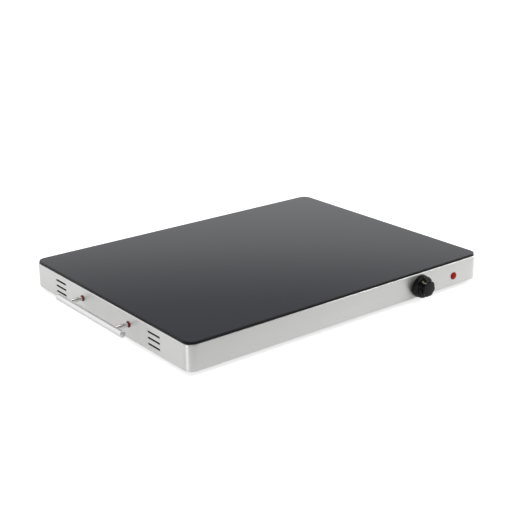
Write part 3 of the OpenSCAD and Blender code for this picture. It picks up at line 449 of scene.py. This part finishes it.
def ground_glass():
    """The edge of the plate, ground with a diamond wheel: a fine grit that drinks light."""
    material, tree = new_material("ground_glass_edge")
    place = add(tree, "ShaderNodeTexCoord").outputs["Object"]
    grit = add(tree, "ShaderNodeTexNoise", Vector=place, Scale=1 / (GRIT_SIZE * MM),
               Detail=2.0)
    surface(tree, grit, "09080c", "0f0d13", grit, (0.30, 0.45), IOR=GLASS_IOR,
            Specular_IOR_Level=0.2)
    return material


glass_plate = black_glass()
glass_edge = ground_glass()
print("glass:", glass_plate.name, "and", glass_edge.name)

# %% [markdown]
# ## Mouldings, rubber and the rest
#
# Moulded parts copy their mould: a gloss one shows slight waviness, a matt one a fine
# spark-eroded grain. Rubber scatters more light at grazing angles than a plastic does.
# The same recipe serves them all: two close shades, a roughness range and a grain whose
# size is given in millimetres. The finest grains are drawn a little coarser than they are,
# so that they show.

# %% Mouldings
GRAIN_DEPTH = 0.05  # mm
SILICONE_IOR = 1.41


def moulding(name, first, second, rough, grain, bump, ior=1.5, sheen=0.0, shine=0.5):
    """A moulded, pressed or fired material. Grain is the size of its texture in mm. Shine
    is the level of its reflections, where 0.5 is what its IOR gives."""
    material, tree = new_material(name)
    place = add(tree, "ShaderNodeTexCoord").outputs["Object"]
    texture = add(tree, "ShaderNodeTexNoise", Vector=place, Scale=1 / (grain * MM),
                  Detail=3.0, Roughness=0.55)
    relief = add(tree, "ShaderNodeBump", Strength=bump, Distance=GRAIN_DEPTH * MM,
                 Height=texture)
    surface(tree, texture, first, second, texture, rough, Normal=relief, IOR=ior,
            Sheen_Weight=sheen, Specular_IOR_Level=shine)
    return material


# Phenolic knob, compression moulded: deep gloss black with soft waviness.
gloss_phenolic = moulding("gloss_phenolic_moulding", "040405", "09090b", (0.04, 0.08),
                          6.0, 0.15, shine=0.24)
# Clear red acrylic lens: bright, with a polished face.
red_acrylic = moulding("clear_red_acrylic", "b40c08", "c8120e", (0.06, 0.12), 3.0, 0.05,
                       1.49, shine=0.15)
# Red silicone washer, pressed: matt and slightly dusty.
red_silicone = moulding("pressed_red_silicone", "780d13", "8c141a", (0.45, 0.6), 0.6, 0.3,
                        SILICONE_IOR)
# Black silicone bead under the glass: an even satin black.
black_silicone = moulding("black_silicone_bead", "111112", "1a1a1b", (0.35, 0.5), 1.0, 0.2,
                          SILICONE_IOR)
# Nitrile rubber feet, moulded with a fine grain.
foot_rubber = moulding("moulded_nitrile_rubber", "141414", "202021", (0.6, 0.8), 0.4, 0.5,
                       1.52, sheen=0.1)
# Black nylon inlet, moulded in a spark-eroded tool.
black_nylon = moulding("moulded_black_nylon", "101011", "19191a", (0.35, 0.5), 0.3, 0.4,
                       1.53)
# Steatite ceramic, pressed and fired: off-white and dry.
steatite = moulding("fired_steatite_ceramic", "e2dccd", "ece7da", (0.55, 0.7), 0.5, 0.3)
# Needled glass fibre mat: white and open.
glass_fibre = moulding("needled_glass_fibre", "ddd9cc", "efece2", (0.85, 0.95), 1.5, 1.0,
                       sheen=0.3)
# Matt black on the bottom cover, with a fine orange peel: painted shade, so that the inside
# stays dark where it shows through the vents.
vent_shade_black = moulding("matt_black_vent_shade", "0e0e0f", "171718", (0.5, 0.65), 0.8, 0.5)


def sleeve(name, first, second):
    """Silicone sleeving, extruded over a wire: matt, with a fine even grain."""
    return moulding(name, first, second, (0.45, 0.6), 0.8, 0.2, SILICONE_IOR)


wire_silicone = sleeve("orange_silicone_sleeve", "c06a2c", "cd7836")
brown_sleeve = sleeve("brown_silicone_sleeve", "5a3018", "683a20")
blue_sleeve = sleeve("blue_silicone_sleeve", "2c4f92", "3659a0")
green_sleeve = sleeve("green_silicone_sleeve", "4e8f3a", "5a9c44")
# Woven glass sleeving on the leads that get hot: off-white, with a dry grain.
pale_sleeve = moulding("woven_glass_sleeve", "dcd8cb", "ebe7db", (0.6, 0.75), 0.5, 0.4)
print("materials:", len(bpy.data.materials))

# %% [markdown]
# ## A pale stripe on the knob
#
# The mark is a pale khaki stripe along the side of the grip. It's placed by the angle
# around the knob's own axis and by the distance along it, so it turns with the knob.

# %% Pale stripe
MARK_ANGLE = 124.0  # degrees from +X towards +Z, with the knob at rest
MARK_HALF_WIDTH = 1.5  # this and the next three are in mm
MARK_BACK, MARK_FRONT = 0.6, 8.2  # along the axis, from the knob's middle
MARK_FADE = 0.2  # the width of its soft edge
MARK_SIDE = 1.0  # it shows in full from this far out on its side of the axis
knob_low, knob_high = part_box("knob")
knob_middle = (knob_low + knob_high) / 2


def lay_pale_stripe(material, mark_colour):
    """Paints the mark over the material's own colour."""
    tree = material.node_tree
    base = tree.nodes["Principled BSDF"].inputs["Base Color"]
    place = add(tree, "ShaderNodeTexCoord").outputs["Object"]
    offset = add(tree, "ShaderNodeVectorMath", SUBTRACT, i0=place, i1=tuple(knob_middle))
    x, z = math.cos(math.radians(MARK_ANGLE)), math.sin(math.radians(MARK_ANGLE))
    outward, sideways, forward = (
        add(tree, "ShaderNodeVectorMath", DOT, i0=offset, i1=way).outputs["Value"]
        for way in ((x, 0, z), (-z, 0, x), (0, -1, 0)))
    sideways = add(tree, "ShaderNodeMath", {"operation": "ABSOLUTE"}, i0=sideways)
    edges = [
        (outward, 0.0, MARK_SIDE),
        (sideways, MARK_HALF_WIDTH + MARK_FADE / 2, MARK_HALF_WIDTH - MARK_FADE / 2),
        (forward, MARK_BACK, MARK_BACK + MARK_FADE),
        (forward, MARK_FRONT, MARK_FRONT - MARK_FADE),
    ]
    stripe = 1.0
    for distance, start, end in edges:
        edge = add(tree, "ShaderNodeMapRange", EASED, Value=distance,
                   From_Min=start * MM, From_Max=end * MM)
        stripe = add(tree, "ShaderNodeMath", MULTIPLY, i0=stripe, i1=edge)
    striped = add(tree, "ShaderNodeMix", COLOURS, Factor=stripe,
                  i6=base.links[0].from_socket, i7=colour(mark_colour))
    tree.links.new(striped.outputs[2], base)


# a pale khaki stripe over the knob's black, on the upper left of the grip
lay_pale_stripe(gloss_phenolic, "8c8a74")
print("knob's middle:", [round(v, 4) for v in knob_middle])

# %% [markdown]
# ## Dressing the CAD parts
#
# Each CAD part keeps its shape and takes a finish. A table from finish to parts is easier
# to check than one line for each part. The ground edge of the glass is found by the tilt
# of its faces.

# %% Finishes by part
FINISHES = {
    brushed_band: ["side_band"],
    satin_bar: ["handle_bar_left", "handle_bar_right"],
    buffed_post: ["handle_posts"],
    zinc_plate: [
        "press_bars", "press_bar_screws", "cover_screws", "foot_screws",
        "foot_nuts", "handle_screws", "handle_inner_washers", "knob_clip",
        "thermostat_shaft", "thermostat_frame", "bush_nut", "lamp_clip", "fuse_clip",
        "inlet_screws", "inlet_nuts",
    ],
    rolled_aluminium: ["heat_spreader"],
    brass_strip: ["contact_blades", "block_rivet", "inlet_pins", "earth_screw", "earth_nut"],
    silver_face: ["contact_points"],
    bimetal_sheet: ["bimetal_strip"],
    glass_plate: ["glass_top"],
    gloss_phenolic: ["knob"],
    red_acrylic: ["lamp_lens"],
    red_silicone: ["red_washers"],
    black_silicone: ["glass_seal"],
    foot_rubber: ["feet"],
    black_nylon: ["inlet_housing"],
    # the bottom cover's black is painted shade for the inside seen through the vents
    vent_shade_black: ["bottom_cover"],
    steatite: ["thermostat_block", "push_pin", "lamp_body", "thermal_fuse"],
    glass_fibre: ["insulation_mat"],
    wire_silicone: ["heating_wire"],
    brown_sleeve: ["live_lead", "fuse_lead"],
    blue_sleeve: ["neutral_lead"],
    green_sleeve: ["earth_lead"],
    pale_sleeve: ["heater_lead", "lamp_leads", "tab_sleeves"],
}
LEVEL_ENOUGH = 0.97  # a face of the glass whose normal has a lower Z has the edge's finish

for material, names in FINISHES.items():
    for name in names:
        nodes[name].data.materials.clear()
        nodes[name].data.materials.append(material)
glass_mesh = nodes["glass_top"].data
glass_mesh.materials.append(glass_edge)
for face in glass_mesh.polygons:
    face.material_index = 1 if face.normal.z < LEVEL_ENOUGH else 0
undressed = set(nodes) - {n for names in FINISHES.values() for n in names}
print("parts without a finish:", sorted(undressed))

# %% [markdown]
# ## Rounded edges
#
# CAD leaves edges sharp, and a sharp edge catches no light. A moulded or turned part has
# small radii, and the fine highlights along them are what makes it look real. Here a copy
# of each such part is made, its touching corners are welded, and a bevel rounds every edge
# that's sharper than 35 degrees. The copy stands for the part and moves with its body.

# %% Rounded copies
WELD = 0.002  # mm; corners closer than this are one corner
FLAT_ENOUGH = math.radians(0.5)
SHARP = math.radians(35.0)
EDGE_RADII = {  # mm
    "handle_posts": 0.25, "red_washers": 0.3, "lamp_lens": 0.3, "feet": 0.5,
    "handle_bar_left": 0.5, "handle_bar_right": 0.5,
}


def plain_mesh(piece, name):
    """The piece's evaluated mesh, as ordinary data with no modifiers left."""
    graph = bpy.context.evaluated_depsgraph_get()
    mesh = bpy.data.meshes.new_from_object(piece.evaluated_get(graph))
    mesh.name = name
    piece.modifiers.clear()
    piece.data = mesh
    return mesh


def welded(name):
    """The CAD part's mesh as a bmesh, with the corners of touching faces made one."""
    shape = bmesh.new()
    shape.from_mesh(nodes[name].data)
    bmesh.ops.remove_doubles(shape, verts=shape.verts, dist=WELD * MM)
    return shape


def shade_smooth(mesh, sharp):
    """Smooth shading, apart from edges that are sharper than an angle."""
    mesh.polygons.foreach_set("use_smooth", [True] * len(mesh.polygons))
    mesh.set_sharp_from_angle(angle=sharp)


def rounded(name, body, radius):
    """A copy of a CAD part with its edges rounded to a radius in mm."""
    mesh = bpy.data.meshes.new(name + "_edges")
    shape = welded(name)
    bmesh.ops.dissolve_limit(shape, angle_limit=FLAT_ENOUGH, verts=shape.verts,
                             edges=shape.edges)
    shape.to_mesh(mesh)
    shape.free()
    mesh.materials.clear()
    mesh.materials.append(nodes[name].data.materials[0])
    piece = bpy.data.objects.new(name + "_rounded", mesh)
    scene.collection.objects.link(piece)
    bevel = piece.modifiers.new("edges", "BEVEL")
    bevel.width = radius * MM
    bevel.segments = 2
    bevel.limit_method = "ANGLE"
    bevel.angle_limit = SHARP
    bevel.use_clamp_overlap = False
    finished = plain_mesh(piece, name + "_rounded")
    shade_smooth(finished, SHARP)
    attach(piece, body)
    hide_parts(name)
    print(name, "rounded:", len(finished.polygons), "faces")


for name, radius in EDGE_RADII.items():
    rounded(name, "tray", radius)

# %% [markdown]
# ## The knob
#
# The knob is turned in shape: a tapered skirt, a collar and a waisted grip with a slightly
# domed tip. Seven finger scallops are cut into the grip and 48 fine grooves into the skirt.
# Bevelling such short crossing edges goes wrong, so the surface is worked out directly. It
# is a grid of rings. Each ring has the radius of the rounded outline, made smaller where a
# scallop or a groove cuts in, and a smooth minimum rounds the edges between them.

# %% Knob outline
# All sizes are in mm, and heights are measured from the panel.
KNOB_GAP = 0.8
KNOB_RINGS = [  # radius, height, fillet, from the tip down the outside and up the hollow
    (12.9, 19.45, 0.7), (13.9, 18.5, 0.5), (13.0, 14.8, 1.2), (13.0, 13.4, 0.5),
    (14.7, 12.8, 0.3), (15.5, 12.0, 0.5), (15.5, 10.0, 0.35), (17.3, 10.0, 0.5),
    (18.2, 9.1, 0.6), (19.2, 0.8, 0.2), (16.2, 0.8, 0.2), (16.2, 8.0, 0.4),
    (5.6, 8.0, 0.2), (5.6, 4.8, 0.2), (3.02, 4.8, 0.2), (3.02, 16.2, 0.1),
]
TIP_HEIGHT = 20.5
TIP_RADIUS = 12.9
DOME_RISE = 1.05  # from the rim of the tip to its middle
DOME_RADIUS = 12.2  # of the outermost ring on the dome, just inside the rim's fillet
DOME_STEPS = 12
INTO_DOME = Vector((-1, 0.1))  # the way on from the first corner, up the dome
INTO_BORE = Vector((-1, 0))  # and from the last corner, over the bore's flat end
FILLET_STEPS = 5
FILLET_SHARE = 0.45  # a fillet takes no more than this of the edges that it joins


def filleted(points):
    """A line through (radius, height) corners, with each corner rounded."""
    line = []
    for i, (r, h, fillet) in enumerate(points):
        here = Vector((r, h))
        before = Vector(points[i - 1][:2]) if i else here + INTO_DOME
        after = Vector(points[i + 1][:2]) if i + 1 < len(points) else here + INTO_BORE
        reach = min(fillet, (before - here).length * FILLET_SHARE,
                    (after - here).length * FILLET_SHARE)
        start = here + (before - here).normalized() * reach
        end = here + (after - here).normalized() * reach
        for k in range(FILLET_STEPS + 1):
            t = k / FILLET_STEPS
            line.append(start * (1 - t) ** 2 + here * 2 * t * (1 - t) + end * t * t)
    return line


def dome():
    """The rings of the tip, from near its middle to near its rim."""
    radii = [DOME_RADIUS * k / DOME_STEPS for k in range(1, DOME_STEPS + 1)]
    return [Vector((r, TIP_HEIGHT - DOME_RISE * (r / TIP_RADIUS) ** 2)) for r in radii]


outline = dome() + filleted(KNOB_RINGS)
print("knob rings:", len(outline))

# %% Knob cuts
SCALLOPS, SCALLOP_RADIUS, SCALLOP_CENTRE, SCALLOP_TURN = 7, 7.0, 19.0, 13.3
SCALLOP_FOOT = (12.4, 13.4)  # the scallops run out between these heights
SCALLOP_BLEND = 0.45
GROOVES, GROOVE_RADIUS, GROOVE_CENTRE = 48, 0.5, 19.3
GROOVE_TOP = 9.0
GROOVE_BLEND = 0.12
SKIRT_LEAST = 17.0  # below the grooves' top, only the skirt is wider than this
AROUND = 720


def cut_radius(angle, count, centre, radius, turn=0.0):
    """How far out the material reaches at an angle, where round cuts stand in a circle."""
    pitch = 2 * math.pi / count
    off = (angle - math.radians(turn) + pitch / 2) % pitch - pitch / 2
    inside = radius**2 - (centre * math.sin(off)) ** 2
    return centre * math.cos(off) - math.sqrt(inside) if inside > 0 else centre


def smooth_least(a, b, blend):
    near = max(blend - abs(a - b), 0) / blend
    return min(a, b) - near * near * blend / 4


def eased(value, start, end):
    t = min(max((value - start) / (end - start), 0), 1)
    return t * t * (3 - 2 * t)


angles = [2 * math.pi * k / AROUND for k in range(AROUND)]
scallop_at = [cut_radius(a, SCALLOPS, SCALLOP_CENTRE, SCALLOP_RADIUS, SCALLOP_TURN)
              for a in angles]
groove_at = [cut_radius(a, GROOVES, GROOVE_CENTRE, GROOVE_RADIUS) for a in angles]
print("deepest scallop at radius", round(min(scallop_at), 2), "mm")

# %% Knob mesh
FOOT_TOP = 1.1  # the fillet round the skirt's foot lies below this height
KNOB_SHARP = math.radians(50)
last_outside = FILLET_STEPS + next(i for i, v in enumerate(outline) if v.y < FOOT_TOP)
panel_y = knob_high.y + KNOB_GAP * MM


def knob_point(angle, r, h):
    return (knob_middle.x + r * MM * math.cos(angle), panel_y - h * MM,
            knob_middle.z + r * MM * math.sin(angle))


def knob_ring(i, r, h):
    """One ring of the surface, with the cuts that reach it."""
    radii = [r] * AROUND
    if i <= last_outside and h > SCALLOP_FOOT[0]:
        depth = eased(h, *SCALLOP_FOOT)
        radii = [r + (smooth_least(r, s, SCALLOP_BLEND) - r) * depth for s in scallop_at]
    elif i <= last_outside and h < GROOVE_TOP and r > SKIRT_LEAST:
        radii = [smooth_least(r, g, GROOVE_BLEND) for g in groove_at]
    return [knob_point(a, out, h) for a, out in zip(angles, radii)]


def ring_faces(rings):
    """Faces between the rings, and a fan to the first and to the last point."""
    after = [(k + 1) % AROUND for k in range(AROUND)]
    faces = [(0, 1 + n, 1 + k) for k, n in enumerate(after)]
    for low in range(1, 1 + (rings - 1) * AROUND, AROUND):
        faces += [(low + k, low + n, low + AROUND + n, low + AROUND + k)
                  for k, n in enumerate(after)]
    last = 1 + (rings - 1) * AROUND
    return faces + [(last + k, last + n, last + AROUND) for k, n in enumerate(after)]


points = [knob_point(0, 0, TIP_HEIGHT)]
for i, (r, h) in enumerate(outline):
    points += knob_ring(i, r, h)
points.append(knob_point(0, 0, outline[-1].y))
knob_mesh = bpy.data.meshes.new("knob_moulded")
knob_mesh.from_pydata(points, [], ring_faces(len(outline)))
shape = bmesh.new()
shape.from_mesh(knob_mesh)
bmesh.ops.recalc_face_normals(shape, faces=shape.faces)
shape.to_mesh(knob_mesh)
shape.free()
shade_smooth(knob_mesh, KNOB_SHARP)
knob_mesh.materials.append(gloss_phenolic)
moulded_knob = bpy.data.objects.new("knob_moulded", knob_mesh)
scene.collection.objects.link(moulded_knob)
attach(moulded_knob, "control")
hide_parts("knob")
print("knob faces:", len(knob_mesh.polygons))

# %% [markdown]
# ## Screws, repeated
#
# The cover screws and the foot screws are the same part in two sizes. One Geometry
# Nodes tree builds a pan head with a cross recess on a shank and puts a copy at every
# point it's given. A seeded random turn stands for a screw that stops where it gets tight.
# The places and sizes are read from the CAD model, and the result is baked to plain mesh.

# %% Screw head
DOME_DROP = 0.4  # of the head's height: its edge lies this far below its top
RECESS_HEIGHT = 1.2  # of the head's height: a bar of the cross, half of it above the head
RECESS_LENGTH, RECESS_WIDTH = 1.15, 0.24  # of the head's radius


def lifted(group, mesh, z):
    """A mesh, moved up by z."""
    offset = add(group, "ShaderNodeCombineXYZ", Z=z)
    return add(group, "GeometryNodeTransform", Geometry=mesh, Translation=offset)


def pan_head(group, radius, height):
    """Adds the nodes for a pan head with a cross recess. It stands on z = 0."""
    # A disc is cut by a large sphere, which gives a low dome.
    drop = add(group, "ShaderNodeMath", MULTIPLY, i0=height, i1=DOME_DROP)
    radius_squared = add(group, "ShaderNodeMath", MULTIPLY, i0=radius, i1=radius)
    drop_squared = add(group, "ShaderNodeMath", MULTIPLY, i0=drop, i1=drop)
    squares = add(group, "ShaderNodeMath", {"operation": "ADD"}, i0=radius_squared,
                  i1=drop_squared)
    twice_drop = add(group, "ShaderNodeMath", MULTIPLY, i0=drop, i1=2.0)
    dome_radius = add(group, "ShaderNodeMath", {"operation": "DIVIDE"}, i0=squares,
                      i1=twice_drop)
    half_height = add(group, "ShaderNodeMath", MULTIPLY, i0=height, i1=0.5)
    centre = add(group, "ShaderNodeMath", SUBTRACT, i0=height, i1=dome_radius)
    disc = add(group, "GeometryNodeMeshCylinder", Vertices=48, Radius=radius, Depth=height)
    ball = add(group, "GeometryNodeMeshUVSphere", Segments=64, Rings=48, Radius=dome_radius)
    placed = [lifted(group, disc, half_height), lifted(group, ball, centre)]
    head = add(group, "GeometryNodeMeshBoolean",
               {"operation": "INTERSECT", "solver": "EXACT"}, Mesh_2=placed)

    # Two crossed bars, sunk into the dome, are taken away for the recess.
    long = add(group, "ShaderNodeMath", MULTIPLY, i0=radius, i1=RECESS_LENGTH)
    wide = add(group, "ShaderNodeMath", MULTIPLY, i0=radius, i1=RECESS_WIDTH)
    high = add(group, "ShaderNodeMath", MULTIPLY, i0=height, i1=RECESS_HEIGHT)
    bars = []
    for x, y in ((long, wide), (wide, long)):
        size = add(group, "ShaderNodeCombineXYZ", X=x, Y=y, Z=high)
        bar = add(group, "GeometryNodeMeshCube", Size=size)
        bars.append(lifted(group, bar, height))
    cross = add(group, "GeometryNodeMeshBoolean",
                {"operation": "UNION", "solver": "EXACT"}, Mesh_2=bars)
    return add(group, "GeometryNodeMeshBoolean",
               {"operation": "DIFFERENCE", "solver": "EXACT"}, Mesh_1=head, Mesh_2=cross)


# %% Screw tree
SHANK_SUNK = 0.3  # of the head's height: the shank reaches this far into it


def screw_tree():
    """The whole tree, with named inputs for a screw's sizes."""
    group = bpy.data.node_groups.new("pan_screws", "GeometryNodeTree")
    sockets = group.interface
    sockets.new_socket("Places", in_out="INPUT", socket_type="NodeSocketGeometry")
    for name in ("Head Radius", "Head Height", "Shank Radius", "Shank Length"):
        sockets.new_socket(name, in_out="INPUT", socket_type="NodeSocketFloat")
    sockets.new_socket("Seed", in_out="INPUT", socket_type="NodeSocketInt")
    sockets.new_socket("Material", in_out="INPUT", socket_type="NodeSocketMaterial")
    sockets.new_socket("Screws", in_out="OUTPUT", socket_type="NodeSocketGeometry")
    given = group.nodes.new("NodeGroupInput").outputs
    height, length = given["Head Height"], given["Shank Length"]

    # The shank reaches a little way into the head, and the two are joined.
    sunk = add(group, "ShaderNodeMath", MULTIPLY, i0=height, i1=SHANK_SUNK)
    half_length = add(group, "ShaderNodeMath", MULTIPLY, i0=length, i1=0.5)
    middle = add(group, "ShaderNodeMath", SUBTRACT, i0=sunk, i1=half_length)
    shank = add(group, "GeometryNodeMeshCylinder", Vertices=32, Radius=given["Shank Radius"],
                Depth=length)
    both = [pan_head(group, given["Head Radius"], height), lifted(group, shank, middle)]
    screw = add(group, "GeometryNodeMeshBoolean",
                {"operation": "UNION", "solver": "EXACT"}, Mesh_2=both)

    # Heads point down, and a quarter turn covers every way a cross can stop.
    turn = add(group, "FunctionNodeRandomValue", {"data_type": "FLOAT_VECTOR"},
               i0=(math.pi, 0, 0), i1=(math.pi, 0, math.pi / 2), i8=given["Seed"])
    copies = add(group, "GeometryNodeInstanceOnPoints", Points=given["Places"],
                 Instance=screw, Rotation=turn)
    real = add(group, "GeometryNodeRealizeInstances", Geometry=copies)
    done = add(group, "GeometryNodeSetMaterial", Geometry=real, Material=given["Material"])
    add(group, "NodeGroupOutput", Screws=done)
    return group


pan_screws = screw_tree()
print("screw tree nodes:", len(pan_screws.nodes))

# %% Screw places
SCREW_SHARP = math.radians(30)


def separate_boxes(name):
    """The lowest and highest corner of every separate solid in a CAD part."""
    shape = welded(name)
    left = set(shape.verts)
    found = []
    while left:
        stack = [left.pop()]
        corners = []
        while stack:
            vert = stack.pop()
            corners.append(vert.co.copy())
            for edge in vert.link_edges:
                other = edge.other_vert(vert)
                if other in left:
                    left.remove(other)
                    stack.append(other)
        found.append((Vector([min(c[k] for c in corners) for k in range(3)]),
                      Vector([max(c[k] for c in corners) for k in range(3)])))
    shape.free()
    return sorted(found, key=lambda pair: tuple(round(v, 4) for v in pair[0]))


def screws(name, body, head_height, shank_radius, seed):
    """Pan screws with their heads down, in the place of a CAD part's screws. Sizes are
    in mm, and all the screws are as wide and as long as the first."""
    solids = separate_boxes(name)
    places = bpy.data.meshes.new(name + "_places")
    places.from_pydata([((low.x + high.x) / 2, (low.y + high.y) / 2,
                         low.z + head_height * MM) for low, high in solids], [], [])
    piece = bpy.data.objects.new(name + "_recessed", places)
    scene.collection.objects.link(piece)
    builder = piece.modifiers.new("screws", "NODES")
    builder.node_group = pan_screws
    low, high = solids[0]
    values = {
        "Head Radius": (high.x - low.x) / 2,
        "Head Height": head_height * MM,
        "Shank Radius": shank_radius * MM,
        "Shank Length": high.z - low.z - head_height * MM * (1 - SHANK_SUNK),
        "Seed": seed,
        "Material": zinc_plate,
    }
    for socket in pan_screws.interface.items_tree:
        if socket.name in values:
            builder[socket.identifier] = values[socket.name]
    mesh = plain_mesh(piece, name + "_recessed")
    shade_smooth(mesh, SCREW_SHARP)
    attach(piece, body)
    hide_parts(name)
    print(name, len(solids), "screws,", len(mesh.polygons), "faces")


screws("cover_screws", "tray", head_height=1.9, shank_radius=1.5, seed=3)
screws("foot_screws", "tray", head_height=2.4, shank_radius=2.0, seed=7)
